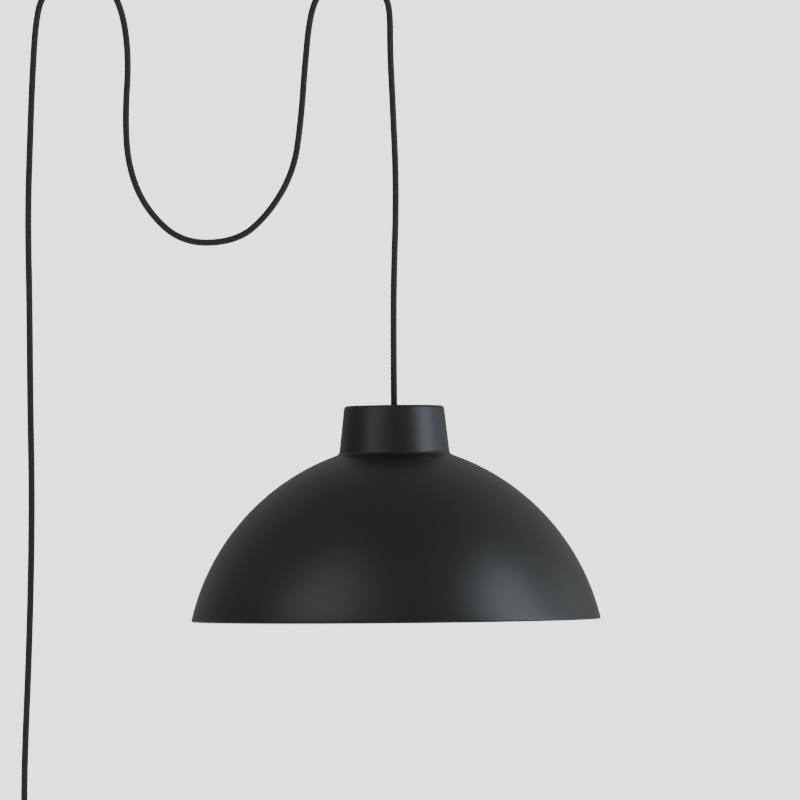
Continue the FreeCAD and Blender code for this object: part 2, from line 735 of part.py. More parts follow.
# ---------------------------------------------------------------- in-line switch
def make_switch_shells():
    shell_outline = rectangle("switch_half_width", "switch_half_length", "switch_corner")
    chamber = rectangle("chamber_half_width", "chamber_half_length", "chamber_corner")
    rim_level = size("switch_half_depth")

    def outer_edge(edge):
        return edge.BoundBox.YLength < 0.01 and abs(abs(edge.BoundBox.YMax) - rim_level) < 0.01

    for name, backward, depth in (("switch_cover", False, "chamber_front"), ("switch_base", True, "chamber_back")):
        shell = DOC.addObject("PartDesign::Body", name + "_shell")
        shell.Label = name + "_shell"
        pad(shell, "XZ_Plane", draw_outline, shell_outline, "switch_half_depth", backward=backward)
        fillet(shell, outer_edge, "switch_edge")
        pocket(shell, "XZ_Plane", draw_outline, chamber, depth, backward=not backward)
        cuts = [cylinder("channel_radius", "2 * switch_half_length", ("0", "0", "-switch_half_length"))]
        for sign in ("", "-"):
            across = f"{sign}switch_screw_x"
            along = f"{sign}switch_screw_z"
            if backward:
                cuts.append(cylinder("switch_screw_head", "switch_screw_recess",
                                     (across, "switch_half_depth - switch_screw_recess", along), (0, 1, 0)))
            cuts.append(cylinder("switch_screw_radius", "switch_screw_length",
                                 (across, "switch_half_depth - switch_screw_recess - switch_screw_length", along),
                                 (0, 1, 0)))
        if not backward:
            cuts.append(box("-window_half_width", "window_half_width", "-switch_half_depth", "0",
                            "-window_half_length", "window_half_length"))
            cuts.append(cylinder("axle_radius", "2 * axle_half_length",
                                 ("-axle_half_length", "-axle_level", "0"), (1, 0, 0)))
        kept(less(shell, cuts), name, SWITCH)
    screws = []
    for sign in ("", "-"):
        across = f"{sign}switch_screw_x"
        along = f"{sign}switch_screw_z"
        screws.append(fused([
            cylinder("switch_screw_radius", "switch_screw_length",
                     (across, "switch_half_depth - switch_screw_recess - switch_screw_length", along), (0, 1, 0)),
            cylinder("switch_screw_head", "switch_screw_cap",
                     (across, "switch_half_depth - switch_screw_recess", along), (0, 1, 0)),
        ]))
    kept(group(screws), "switch_screws", SWITCH)


def make_rocker():
    """The rocker stands tipped to one side at rest; its axle stays in the cover."""
    blade = DOC.addObject("PartDesign::Body", "rocker_blade")
    blade.Label = "rocker_blade"
    pad(blade, "YZ_Plane", draw_outline, [
        ("-rocker_crest", "-rocker_half_length"), ("-rocker_shoulder", "-rocker_half_length"),
        ("rocker_foot", "-rocker_half_length / 2"), ("rocker_foot", "rocker_half_length / 2"),
        ("-rocker_shoulder", "rocker_half_length"), ("-rocker_crest", "rocker_half_length"), ("-rocker_dip", "0"),
    ], "2 * rocker_half_width", middle=True)
    hole = cylinder("axle_radius + axle_clearance", "2 * axle_half_length", ("-axle_half_length", "0", "0"), (1, 0, 0))
    kept(less(blade, [hole]), "rocker", ROCKER)
    bridge = box("-bridge_half_width", "bridge_half_width", "rocker_foot", "rocker_foot + bridge_height",
                 "-bridge_half_length", "bridge_half_length")
    kept(bridge, "rocker_contact", ROCKER)
    axle = cylinder("axle_radius", "2 * axle_half_length", ("-axle_half_length", "-axle_level", "0"), (1, 0, 0))
    kept(axle, "rocker_axle", SWITCH)


def make_switch_wiring():
    """Two fixed contacts on the base, the switched core's two ends and the core that runs through."""
    half = "bridge_half_width"
    middle = "middle_half"
    low = "end_contact_low"
    middle_tab = box(f"-{half}", half, "middle_contact", "middle_contact + strip", f"-{middle}", middle)
    middle_leg = box(f"-{half}", half, "middle_contact", "chamber_back", f"-{middle}", f"strip - {middle}")
    end_tab = box(f"-{half}", half, "0", "strip", low, "end_contact_high")
    end_leg = box(f"-{half}", half, "0", "chamber_back", low, f"{low} + strip")
    kept(group([fused([middle_tab, middle_leg]), fused([end_tab, end_leg])]), "fixed_contacts", SWITCH)
    radius = size("core_radius")
    sheath = size("sheath_end")
    spread = size("core_spread")
    fan = sheath - size("core_fan")
    fan_back = size("core_fan_back")
    side = size("chamber_half_width - core_wall_gap")
    back = size("core_bypass")
    bypass = size("core_bypass_end")
    swept_rod("through_core", [
        (spread, 0, sheath), (spread, fan_back, fan), (side, back, bypass), (side, back, -bypass),
        (spread, fan_back, -fan), (spread, 0, -sheath),
    ], radius, SWITCH)
    ends = []
    for start_level, back, level in (
            (sheath, size("core_middle_back"), -size("middle_half - strip")),
            (-sheath, size("core_end_back"), size("end_contact_low"))):
        start = Vector(-spread, 0, start_level)
        path = Vector(-spread, back, level) - start
        ends.append(Part.makeCylinder(radius, path.Length - radius, start, path))
    piece = DOC.addObject("Part::Feature", "switched_cores")
    piece.Shape = Part.makeCompound(ends)
    kept(piece, "switched_cores", SWITCH)


# ---------------------------------------------------------------- cord, coil and plug
def make_cords():
    radius = size("cord_radius")
    entry = tuple(HEAD.multVec(Vector(0, 0, size("bush_lip"))))
    gap = size("swing_gap") / 2
    swing = Vector(size("swing_x"), 0, size("swing_z"))
    swept_rod("drop_cord", [entry] + DROP_ROUTE + [(swing.x, 0, swing.z - gap)], radius)
    sheath = size("sheath_end")
    into_switch = tuple(SWITCH.multVec(Vector(0, 0, sheath)))
    swept_rod("swag_cord", [(swing.x, 0, swing.z + gap)] + SWAG_ROUTE + [into_switch], radius)
    reach = size("coil_radius + coil_half_height - cord_radius") / math.sqrt(2)
    out_of_switch = tuple(SWITCH.multVec(Vector(0, 0, -sheath)))
    corner = tuple(SWITCH.multVec(Vector(0, 0, -size("coil_lead_drop"))))
    onto_coil = tuple(COIL.multVec(Vector(reach, 0, reach)))
    swept_rod("coil_lead_in", [out_of_switch, corner, onto_coil], radius)
    points = [tuple(COIL.multVec(Vector(*point))) for point in LEAD_OUT_ROUTE]
    into_plug = tuple(PLUG.multVec(Vector(0, 0, -size("relief_bore_depth"))))
    swept_rod("coil_lead_out", points + [into_plug], radius)


def make_coil():
    """The spare cord's coil stands on edge, its axis towards the viewer, under a hook-and-loop tie."""
    upright = COIL.multiply(Placement(Vector(), Rotation(Vector(1, 0, 0), 90)))
    body = new_body("cord_coil", upright)
    section = [
        (f"coil_radius + ({corner[0]})", corner[1]) + tuple(corner[2:])
        for corner in rectangle("coil_half_height", "coil_half_depth", "coil_corner")
    ]
    revolve(body, "Revolution", draw_outline, section)
    along_ring = Placement(Vector(), Rotation(Vector(0, 1, 0), size("tie_angle")))
    tie_place = COIL.multiply(along_ring).multiply(Placement(Vector(0, 0, size("coil_radius")), Rotation()))
    tie = new_body("coil_tie", tie_place)
    inner = ("coil_half_depth + tie_clearance", "coil_half_height + tie_clearance", "coil_corner")
    outer = (inner[0] + " + tie_wall", inner[1] + " + tie_wall", "coil_corner + tie_wall")
    pad(tie, "YZ_Plane", draw_outline, rectangle(*outer), "tie_width", middle=True)
    pocket(tie, "YZ_Plane", draw_outline, rectangle(*inner), "2 * tie_width", middle=True)


def make_plug():
    turned("cord_relief", [
        ("cord_radius", "0"), ("cord_radius", "-relief_bore_depth"), ("0", "-relief_bore_depth"),
        ("0", "-relief_length"), ("relief_root_radius", "-relief_length"), ("relief_top_radius", "0"),
    ], PLUG)
    shell = DOC.addObject("PartDesign::Body", "plug_shell")
    shell.Label = "plug_shell"
    pad(shell, "XZ_Plane", draw_outline, [
        ("-plug_half_width", "plug_face"), ("plug_half_width", "plug_face"), ("plug_half_width", "plug_flank"),
        ("plug_shoulder_x", "plug_shoulder"), ("plug_top_x", "-relief_length"),
        ("-plug_top_x", "-relief_length"), ("-plug_shoulder_x", "plug_shoulder"), ("-plug_half_width", "plug_flank"),
    ], "plug_depth", middle=True)

    fillet(shell, lambda edge: True, "plug_edge")
    pins = []
    holes = []
    for sign in ("", "-"):
        across = f"{sign}pin_spacing / 2"
        root = ("pin_root_radius", "pin_root - plug_face", (across, "0", "plug_face"))
        holes.append(cylinder(*root))
        pins.append(fused([cylinder("pin_radius", "pin_length", (across, "0", "plug_face - pin_length")),
                           cylinder(*root)]))
    kept(less(shell, holes), "plug_body", PLUG)
    kept(group(pins), "plug_pins", PLUG)


# ---------------------------------------------------------------- build, check and write
def check_and_write():
    DOC.recompute()
    faults = [item.Name for item in DOC.Objects if {"Invalid", "Error"} & set(item.State)]
    if faults:
        raise SystemExit(f"failed objects: {faults}")
    os.makedirs("parts", exist_ok=True)
    for piece in PARTS:
        shape = piece.Shape
        if shape.isNull() or not shape.isValid() or not shape.Solids:
            raise SystemExit(f"{piece.Label}: no valid solid")
    for piece in PARTS:
        piece.Shape.exportStep(os.path.join("parts", piece.Label + ".step"))
        print(f"{piece.Label:18} {len(piece.Shape.Solids)} solid(s) {piece.Shape.Volume / 1000:9.2f} cm3")


make_shade()
make_cord_bush()
make_hanger()
make_holder()
make_terminals()
make_cord_end()
make_bulb()
make_hook("main_hook", MAIN_HOOK)
make_hook("side_hook", SIDE_HOOK)
make_switch_shells()
make_rocker()
make_switch_wiring()
make_cords()
make_coil()
make_plug()
check_and_write()
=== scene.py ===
"""Looks of the plug-in swag pendant lamp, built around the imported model.  Metres, Z up."""
import json
import math

import bmesh
import bpy
from mathutils import Matrix, Vector


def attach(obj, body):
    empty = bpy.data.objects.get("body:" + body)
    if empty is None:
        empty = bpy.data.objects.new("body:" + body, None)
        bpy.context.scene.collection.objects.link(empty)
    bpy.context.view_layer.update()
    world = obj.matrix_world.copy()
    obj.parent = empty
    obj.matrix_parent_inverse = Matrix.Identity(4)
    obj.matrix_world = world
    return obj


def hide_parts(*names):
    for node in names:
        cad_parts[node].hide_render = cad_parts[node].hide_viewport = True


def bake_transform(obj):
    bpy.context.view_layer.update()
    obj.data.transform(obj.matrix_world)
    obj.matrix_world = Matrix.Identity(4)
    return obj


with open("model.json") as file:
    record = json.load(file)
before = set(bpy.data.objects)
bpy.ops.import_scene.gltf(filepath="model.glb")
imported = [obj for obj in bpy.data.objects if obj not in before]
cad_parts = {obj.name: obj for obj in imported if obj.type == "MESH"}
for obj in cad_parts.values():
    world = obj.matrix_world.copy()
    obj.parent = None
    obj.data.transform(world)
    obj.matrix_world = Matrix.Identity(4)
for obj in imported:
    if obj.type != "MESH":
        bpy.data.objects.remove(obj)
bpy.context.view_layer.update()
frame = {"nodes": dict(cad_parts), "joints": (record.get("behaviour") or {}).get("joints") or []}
NODES = frame["nodes"]
JOINTS = {joint["name"]: joint for joint in frame["joints"]}
MM = 0.001
TAU = 2 * math.pi

# ---------------------------------------------------------------- places, from the frame and the design
ENTRY = Vector((41.0, 0, -469.0)) * MM
DOWN = Vector(JOINTS["bulb_release"]["axis"]).normalized()
HEAD = Matrix.Translation(ENTRY) @ Vector((0, 0, -1)).rotation_difference(DOWN).to_matrix().to_4x4()
SWITCH = Vector((-319.5, 0, -894.0)) * MM
CORD = 6.5 * MM
SHEATH_END = 16 * MM
LEAD_CORNER = Vector((-319.5, 0, -946.0)) * MM
COIL_RADIUS = 36 * MM
OUTER_TURN = 45.75
COIL = LEAD_CORNER - Vector((0, 0, math.sqrt(2) * OUTER_TURN * MM))
PLUG = COIL + Vector((26, -17.5, 8)) * MM


# ---------------------------------------------------------------- camera
def add_camera():
    """A long lens a little above the shade's rim, looking up by about a degree."""
    data = bpy.data.cameras.new("camera")
    data.lens = 263.25
    data.sensor_width = 36
    camera = bpy.data.objects.new("camera", data)
    camera.location = Vector((46.8, -5710, -595.1)) * MM
    aim = Vector((46.8, 0, -463.4)) * MM
    camera.rotation_euler = (aim - camera.location).to_track_quat("-Z", "Y").to_euler()
    bpy.context.scene.collection.objects.link(camera)
    bpy.context.scene.camera = camera


# ---------------------------------------------------------------- mesh helpers
def new_piece(name, verts, faces, materials, uvs=None, picks=None, place=None):
    """A smooth-shaded mesh object; uvs hold one pair per face corner, picks one material index per face."""
    mesh = bpy.data.meshes.new(name)
    mesh.from_pydata([tuple(v) for v in verts], [], faces)
    for material in materials:
        mesh.materials.append(material)
    if uvs:
        layer = mesh.uv_layers.new(name="along")
        layer.data.foreach_set("uv", [number for pair in uvs for number in pair])
    mesh.polygons.foreach_set("use_smooth", [True] * len(faces))
    if picks:
        mesh.polygons.foreach_set("material_index", picks)
    if place is not None:
        mesh.transform(place)
    mesh.update()
    piece = bpy.data.objects.new(name, mesh)
    bpy.context.scene.collection.objects.link(piece)
    return piece


def smooth_by_angle(piece, degrees):
    piece.data.set_sharp_from_angle(angle=math.radians(degrees))


def lathe(name, profile, materials, segments, place=HEAD, picks=None, wave=None):
    """A closed (radius, level) outline in millimetres turned about the vertical axis.

    wave(angle, radius, level) may move a point's radius; picks gives each profile edge its material.
    """
    verts = []
    faces = []
    face_picks = []
    uvs = []
    count = len(profile)
    for step in range(segments):
        angle = TAU * step / segments
        for radius, level in profile:
            reach = wave(angle, radius, level) if wave else radius
            verts.append(Vector((reach * math.cos(angle), reach * math.sin(angle), level)) * MM)
    for step in range(segments):
        following = (step + 1) % segments
        for index in range(count):
            after = (index + 1) % count
            faces.append((step * count + index, following * count + index,
                          following * count + after, step * count + after))
            u0, u1 = step / segments, (step + 1) / segments
            v0, v1 = profile[index][1] * MM, profile[after][1] * MM
            uvs += [(u0, v0), (u1, v0), (u1, v1), (u0, v1)]
            face_picks.append(picks[index] if picks else 0)
    piece = new_piece(name, verts, faces, materials, uvs, face_picks, place)
    weld(piece)
    return piece


def weld(piece):
    """Joins points that lie together, and turns every face outwards."""
    mesh = bmesh.new()
    mesh.from_mesh(piece.data)
    bmesh.ops.remove_doubles(mesh, verts=mesh.verts, dist=1e-7)
    bmesh.ops.dissolve_degenerate(mesh, edges=mesh.edges, dist=1e-8)
    bmesh.ops.recalc_face_normals(mesh, faces=mesh.faces)
    mesh.to_mesh(piece.data)
    mesh.free()


def arc(centre, radius, start, finish, steps):
    """Points on a circle from one angle to another, in degrees."""
    points = []
    for step in range(steps + 1):
        angle = math.radians(start + (finish - start) * step / steps)
        points.append((centre[0] + radius * math.cos(angle), centre[1] + radius * math.sin(angle)))
    return points


def rounded(corners, steps):
    """An outline whose corners (x, y, radius) become arcs."""
    outline = []
    count = len(corners)
    for index, (x, y, radius) in enumerate(corners):
        corner = Vector((x, y))
        before = Vector(corners[index - 1][:2]) - corner
        after = Vector(corners[(index + 1) % count][:2]) - corner
        half = before.angle(after) / 2
        cut = min(radius / math.tan(half), 0.49 * before.length, 0.49 * after.length)
        start = corner + before.normalized() * cut
        finish = corner + after.normalized() * cut
        for step in range(steps + 1):
            share = step / steps
            point = start.lerp(corner, share).lerp(corner.lerp(finish, share), share)
            outline.append((point.x, point.y))
    return outline


def tube(name, path, radius, sides, materials):
    """A round tube along a line of points, with a frame that doesn't twist; uv is (round, metres along)."""
    path = [Vector(point) for point in path]
    verts = []
    uvs = []
    faces = []
    rings = []
    tangent = (path[1] - path[0]).normalized()
    side = tangent.orthogonal().normalized()
    along = 0.0
    lengths = [0.0]
    for index, point in enumerate(path):
        here = path[min(index + 1, len(path) - 1)] - path[max(index - 1, 0)]
        here.normalize()
        side = tangent.rotation_difference(here) @ side
        side = (side - here * side.dot(here)).normalized()
        tangent = here
        rings.append((point, side.copy(), tangent.cross(side)))
        if index:
            along += (point - path[index - 1]).length
            lengths.append(along)
    for point, across, upward in rings:
        for step in range(sides):
            angle = TAU * step / sides
            verts.append(point + (across * math.cos(angle) + upward * math.sin(angle)) * radius)
    for ring in range(len(path) - 1):
        for step in range(sides):
            following = (step + 1) % sides
            faces.append((ring * sides + step, ring * sides + following,
                          (ring + 1) * sides + following, (ring + 1) * sides + step))
            u0, u1 = step / sides, (step + 1) / sides
            v0, v1 = lengths[ring], lengths[ring + 1]
            uvs += [(u0, v0), (u1, v0), (u1, v1), (u0, v1)]
    for ring, order in ((0, -1), (len(path) - 1, 1)):
        faces.append(tuple(ring * sides + step for step in range(sides))[::order])
        uvs += [(0.5, lengths[ring])] * sides
    return new_piece(name, verts, faces, materials, uvs)


def spline_points(name, controls, detail):
    """Points along the smooth curve that the route's given control points make."""
    data = bpy.data.curves.new(name + "_route", "CURVE")
    data.dimensions = "3D"
    spline = data.splines.new("NURBS")
    spline.points.add(len(controls) - 1)
    for point, place in zip(spline.points, controls):
        point.co = (*place, 1)
    spline.order_u = 3
    spline.use_endpoint_u = True
    spline.resolution_u = detail
    holder = bpy.data.objects.new(name + "_route", data)
    bpy.context.scene.collection.objects.link(holder)
    bpy.context.view_layer.update()
    mesh = bpy.data.meshes.new_from_object(holder)
    points = [vertex.co.copy() for vertex in mesh.vertices]
    bpy.data.objects.remove(holder)
    bpy.data.meshes.remove(mesh)
    kept = [points[0]]
    for point in points[1:]:
        if (point - kept[-1]).length > 0.4 * MM:
            kept.append(point)
    return kept


def length_of(points):
    return sum((b - a).length for a, b in zip(points, points[1:]))


# ---------------------------------------------------------------- material helpers
class Shader:
    """A node material with short calls for what the materials below use."""

    def __init__(self, name, colour, roughness, metallic=0.0, **sockets):
        self.material = bpy.data.materials.new(name)
        self.material.use_nodes = True
        self.nodes = self.material.node_tree.nodes
        self.links = self.material.node_tree.links
        self.surface = self.nodes["Principled BSDF"]
        self.set("Base Color", (*colour, 1))
        self.set("Roughness", roughness)
        self.set("Metallic", metallic)
        for socket, value in sockets.items():
            self.set(socket.replace("_", " "), value)

    def set(self, socket, value):
        self.surface.inputs[socket].default_value = value

    def node(self, kind, **settings):
        made = self.nodes.new(kind)
        for name, value in settings.items():
            setattr(made, name, value)
        return made

    def feed(self, made, index, value):
        if isinstance(value, bpy.types.NodeSocket):
            self.links.new(value, made.inputs[index])
        else:
            made.inputs[index].default_value = value

    def math(self, operation, first, second=0.0, third=0.0):
        made = self.node("ShaderNodeMath", operation=operation)
        for index, value in enumerate((first, second, third)):
            self.feed(made, index, value)
        return made.outputs[0]

    def weighed(self, first, first_weight, second, second_weight):
        """Two sources added, each times its weight."""
        first_part = self.math("MULTIPLY", first, first_weight)
        second_part = self.math("MULTIPLY", second, second_weight)
        return self.math("ADD", first_part, second_part)

    def place(self):
        return self.node("ShaderNodeTexCoord").outputs["Object"]

    def uv(self):
        """The two numbers of the piece's own map: round the piece, and metres along it."""
        split = self.node("ShaderNodeSeparateXYZ")
        self.links.new(self.node("ShaderNodeTexCoord").outputs["UV"], split.inputs[0])
        return split.outputs[0], split.outputs[1]

    def noise(self, scale, detail=3.0, roughness=0.55, stretch=None):
        made = self.node("ShaderNodeTexNoise")
        source = self.place()
        if stretch:
            mapping = self.node("ShaderNodeMapping")
            mapping.inputs["Scale"].default_value = stretch
            self.links.new(source, mapping.inputs["Vector"])
            source = mapping.outputs[0]
        self.links.new(source, made.inputs["Vector"])
        made.inputs["Scale"].default_value = scale
        made.inputs["Detail"].default_value = detail
        made.inputs["Roughness"].default_value = roughness
        return made.outputs["Fac"]

    def ramp(self, source, low, high, to_low=0.0, to_high=1.0):
        made = self.node("ShaderNodeMapRange")
        for index, value in enumerate((source, low, high, to_low, to_high)):
            self.feed(made, index, value)
        return made.outputs[0]

    def mix(self, share, first, second):
        made = self.node("ShaderNodeMix", data_type="RGBA")
        self.feed(made, 0, share)
        self.feed(made, 6, (*first, 1) if isinstance(first, tuple) else first)
        self.feed(made, 7, (*second, 1) if isinstance(second, tuple) else second)
        return made.outputs[2]

    def bump(self, height, distance, strength=1.0):
        made = self.node("ShaderNodeBump")
        made.inputs["Strength"].default_value = strength
        made.inputs["Distance"].default_value = distance
        self.links.new(height, made.inputs["Height"])
        self.links.new(made.outputs[0], self.surface.inputs["Normal"])

    def colour(self, source):
        self.links.new(source, self.surface.inputs["Base Color"])

    def rough(self, source):
        self.links.new(source, self.surface.inputs["Roughness"])


# ---------------------------------------------------------------- materials
def powder_coat():
    """Satin black powder coat: a faint orange peel and a slow change of gloss."""
    made = Shader("powder_coat", (0.0085, 0.0088, 0.0078), 0.42, IOR=1.5)
    grain = made.noise(1700, 2)
    peel = made.noise(260, 2)
    slow = made.noise(9, 3)
    tone = made.weighed(slow, 0.6, peel, 0.4)
    made.colour(made.mix(made.ramp(tone, 0.3, 0.7), (0.0074, 0.0077, 0.0068), (0.0102, 0.0104, 0.0092)))
    made.rough(made.ramp(made.weighed(grain, 0.5, slow, 0.5), 0.3, 0.7, 0.385, 0.445))
    made.bump(made.weighed(peel, 0.7, grain, 0.3), 0.00006, 0.5)
    return made.material


def white_lining():
    """Satin white paint inside the shade."""
    made = Shader("white_lining", (0.78, 0.78, 0.75), 0.45)
    peel = made.noise(300, 2)
    slow = made.noise(12, 3)
    made.colour(made.mix(made.ramp(slow, 0.3, 0.7), (0.76, 0.76, 0.725), (0.81, 0.81, 0.785)))
    made.rough(made.ramp(peel, 0.3, 0.7, 0.40, 0.52))
    made.bump(peel, 0.00005, 0.5)
    return made.material


def textile_braid():
    """A round braid of fourteen flat strands each way, over one and under one, with a soft yarn sheen; the
    gaps between strands carry painted shade, and the strands of one direction are painted darker as painted
    shade.
    """
    made = Shader("textile_braid", (0.016, 0.016, 0.0145), 0.70, Sheen_Weight=0.25, Sheen_Roughness=0.4)
    made.set("Sheen Tint", (0.8, 0.8, 0.78, 1))
    strands = 14
    around, along = made.uv()
    turns = made.math("MULTIPLY", around, strands)
    travel = made.math("MULTIPLY", along, strands / (math.pi * CORD))
    one = made.math("ADD", turns, travel)
    other = made.math("SUBTRACT", turns, travel)

    def ridge(phase):
        """Across one strand: 0 in the gap at its side, 1 on its back."""
        centred = made.math("SUBTRACT", made.math("FRACT", phase), 0.5)
        sideways = made.math("MULTIPLY", made.math("ABSOLUTE", centred), 2.0)
        return made.math("SUBTRACT", 1.0, made.math("POWER", sideways, 2.0))

    def yarns(phase):
        """Three yarns side by side in each strand."""
        return made.math("ABSOLUTE", made.math("SINE", made.math("MULTIPLY", phase, 3 * math.pi)))

    cells = made.math("ADD", made.math("FLOOR", one), made.math("FLOOR", other))
    over = made.math("MULTIPLY", made.math("FRACT", made.math("MULTIPLY", cells, 0.5)), 2.0)
    under = made.math("SUBTRACT", 1.0, over)

    def crossing(shape):
        """The shape of whichever strand lies on top at this place."""
        return made.weighed(shape(one), over, shape(other), under)

    fibre = made.noise(5200, 2)
    fine = made.weighed(crossing(yarns), 0.15, fibre, 0.1)
    height = made.math("ADD", made.math("MULTIPLY", crossing(ridge), 0.75), fine)
    fading = made.ramp(made.noise(420, 2), 0.35, 0.75)
    yarn = made.mix(fading, (0.017, 0.017, 0.0155), (0.030, 0.030, 0.028))
    # Painted shade: where the strands of one direction lie on top, they are painted darker than the yarn,
    # as if turned from the light.
    yarn_and_painted_shade = made.mix(over, yarn, (0.012, 0.012, 0.011))
    # Painted shade: the low gaps between strands are painted near black, as if in shadow.
    made.colour(made.mix(made.ramp(height, 0.2, 0.75), (0.003, 0.003, 0.003), yarn_and_painted_shade))
    made.rough(made.ramp(fibre, 0.3, 0.7, 0.62, 0.80))
    made.bump(height, 0.00045, 0.9)
    return made.material


def rubber():
    """Matt black rubber of the bush in the shade's top hole."""
    made = Shader("bush_rubber", (0.012, 0.012, 0.012), 0.68)
    grain = made.noise(2500, 3)
    made.colour(made.mix(made.ramp(grain, 0.3, 0.7), (0.010, 0.010, 0.010), (0.017, 0.017, 0.016)))
    made.bump(grain, 0.00004, 0.5)
    return made.material


def zinc():
    """Bright zinc plate with a faint spangle and turning marks."""
    made = Shader("zinc_plate", (0.52, 0.53, 0.54), 0.34, 1.0)
    spangle = made.noise(420, 4)
    turning = made.noise(900, 2, stretch=(0.2, 0.2, 6.0))
    made.colour(made.mix(made.ramp(spangle, 0.3, 0.7), (0.49, 0.50, 0.50), (0.56, 0.56, 0.56)))
    made.rough(made.ramp(turning, 0.3, 0.7, 0.26, 0.42))
    made.bump(turning, 0.00003, 0.5)
    return made.material


def moulded_black(name, roughness):
    """Moulded black plastic with a fine spark-eroded grain and a faint rub here and there."""
    made = Shader(name, (0.011, 0.011, 0.0115), roughness)
    grain = made.noise(3200, 3)
    slow = made.noise(60, 2)
    dark = made.mix(made.ramp(slow, 0.3, 0.7), (0.009, 0.009, 0.0095), (0.014, 0.014, 0.0145))
    rub = made.ramp(made.noise(140, 4), 0.62, 0.78)
    made.colour(made.mix(made.math("MULTIPLY", rub, 0.5), dark, (0.022, 0.022, 0.022)))
    tone = made.math("SUBTRACT", grain, made.math("MULTIPLY", rub, 0.4))
    made.rough(made.ramp(tone, 0.2, 0.7, roughness - 0.06, roughness + 0.07))
    made.bump(grain, 0.00004, 0.6)
    return made.material


def steatite():
    """Cream steatite with darker specks under a thin glaze."""
    made = Shader("steatite", (0.76, 0.73, 0.66), 0.42, Coat_Weight=0.25)
    speck = made.noise(1300, 4)
    made.colour(made.mix(made.ramp(speck, 0.45, 0.75), (0.79, 0.77, 0.70), (0.60, 0.57, 0.49)))
    made.bump(speck, 0.00004, 0.4)
    return made.material


def brass():
    """Brass sheet, tarnished in places, with faint rolling streaks."""
    made = Shader("brass", (0.68, 0.49, 0.22), 0.30, 1.0)
    tarnish = made.noise(180, 5)
    streak = made.noise(1100, 2, stretch=(1.0, 1.0, 0.15))
    made.colour(made.mix(made.ramp(tarnish, 0.4, 0.75), (0.72, 0.53, 0.25), (0.50, 0.34, 0.15)))
    made.rough(made.ramp(streak, 0.3, 0.7, 0.22, 0.40))
    made.bump(streak, 0.00002, 0.4)
    return made.material


def nickel():
    """Nickel plate, rubbed a little brighter and duller in places."""
    made = Shader("nickel_plate", (0.62, 0.61, 0.58), 0.26, 1.0)
    rub = made.noise(700, 3, stretch=(1.0, 1.0, 3.0))
    made.colour(made.mix(made.ramp(rub, 0.3, 0.7), (0.57, 0.56, 0.53), (0.68, 0.67, 0.65)))
    made.rough(made.ramp(rub, 0.3, 0.7, 0.20, 0.34))
    return made.material


def opal():
    """Opal diffuser: light scatters just under a smooth skin."""
    made = Shader("opal_diffuser", (0.88, 0.87, 0.84), 0.28, Subsurface_Weight=0.12, Subsurface_Scale=0.004)
    cloud = made.noise(40, 3)
    made.colour(made.mix(made.ramp(cloud, 0.3, 0.7), (0.86, 0.85, 0.81), (0.90, 0.89, 0.87)))
    made.rough(made.ramp(made.noise(900, 2), 0.3, 0.7, 0.24, 0.33))
    return made.material


def white_plastic():
    """The bulb's moulded white housing."""
    made = Shader("white_plastic", (0.80, 0.80, 0.78), 0.36)
    grain = made.noise(2400, 3)
    made.colour(made.mix(made.ramp(made.noise(30, 3), 0.3, 0.7), (0.78, 0.78, 0.75), (0.83, 0.83, 0.81)))
    made.rough(made.ramp(grain, 0.3, 0.7, 0.32, 0.42))
    made.bump(grain, 0.00003, 0.4)
    return made.material


def vitrite():
    """Dark glass with a faint swirl, which insulates the bulb's centre contact."""
    made = Shader("dark_vitrite", (0.010, 0.010, 0.014), 0.12, Coat_Weight=0.6)
    swirl = made.noise(250, 4)
    made.colour(made.mix(made.ramp(swirl, 0.4, 0.7), (0.008, 0.008, 0.011), (0.022, 0.021, 0.028)))
    made.rough(made.ramp(swirl, 0.3, 0.7, 0.08, 0.18))
    return made.material


def board(name, first, second):
    """A coated circuit board whose weave shows faintly."""
    made = Shader(name, first, 0.45)
    weave = made.noise(2600, 2)
    made.colour(made.mix(made.ramp(weave, 0.35, 0.65), first, second))
    made.bump(weave, 0.00003, 0.4)
    return made.material


def insulation(name, colour):
    """A core's coloured sleeve, slightly mottled."""
    made = Shader(name, colour, 0.42)
    mottled = made.noise(900, 3)
    darker = tuple(0.8 * part for part in colour)
    made.colour(made.mix(made.ramp(mottled, 0.3, 0.7), darker, colour))
    made.rough(made.ramp(mottled, 0.3, 0.7, 0.36, 0.50))
    return made.material


def stoved_black():
    """Black paint baked on steel, with a light grain and a few paler rubbed patches."""
    made = Shader("stoved_black", (0.014, 0.014, 0.014), 0.40)
    grain = made.noise(1500, 3)
    rub = made.ramp(made.noise(180, 4), 0.60, 0.75)
    paint_colour = made.mix(made.ramp(grain, 0.3, 0.7), (0.011, 0.011, 0.011), (0.019, 0.019, 0.018))
    made.colour(made.mix(made.math("MULTIPLY", rub, 0.6), paint_colour, (0.032, 0.031, 0.030)))
    made.rough(made.ramp(grain, 0.3, 0.7, 0.34, 0.48))
    made.bump(grain, 0.00005, 0.5)
    return made.material


def hook_and_loop():
    """The felted face of a hook-and-loop strap."""
    made = Shader("hook_and_loop", (0.016, 0.016, 0.016), 0.9, Sheen_Weight=0.6, Sheen_Roughness=0.5)
    felt = made.noise(2600, 5, 0.7)
    tuft = made.noise(700, 3)
    made.colour(made.mix(made.ramp(tuft, 0.35, 0.7), (0.010, 0.010, 0.010), (0.034, 0.034, 0.034)))
    made.bump(made.math("ADD", felt, tuft), 0.0004, 0.8)
    return made.material


